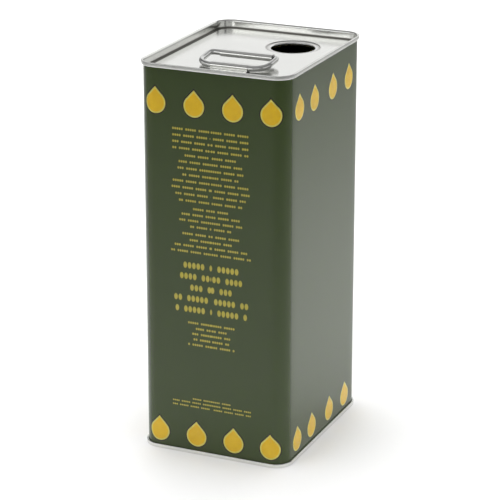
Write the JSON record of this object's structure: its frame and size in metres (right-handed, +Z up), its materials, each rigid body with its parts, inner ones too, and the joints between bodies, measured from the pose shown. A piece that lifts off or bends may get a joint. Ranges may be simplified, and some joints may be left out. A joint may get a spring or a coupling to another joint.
{
  "type": "oil tin",
  "caption": "Tall rectangular metal oil tin with double-seamed ends, an open round mouth in the top and a folding wire bail with a rolled grip.",
  "frame": {"origin": "centre of the footprint on the standing plane", "axes": "+Z up; front face towards -Y; mouth towards +X and +Y"},
  "size_m": [0.1232, 0.1532, 0.3096],
  "materials": {
    "printed_tinplate": "dark green lithographed lacquer, satin gloss, with golden drops",
    "bright_tinplate": "bright tinplate",
    "seam_compound": "matt sealing compound",
    "bail_steel": "tinned steel wire"
  },
  "bodies": {
    "tin": {"body_shell": "printed_tinplate", "top_end": "bright_tinplate", "bottom_end": "bright_tinplate", "top_seam_compound": "seam_compound", "bottom_seam_compound": "seam_compound", "hinge_strap": "bright_tinplate"},
    "bail": {"bail_wire": "bail_steel", "bail_grip": "bright_tinplate"}
  },
  "joints": [
    {"name": "bail_hinge", "type": "hinge", "parent": "tin", "child": "bail", "pos_m": [0.0034, -0.049, 0.3041], "axis": [1, 0, 0], "range_deg": [-5.6, 157]}
  ]
}
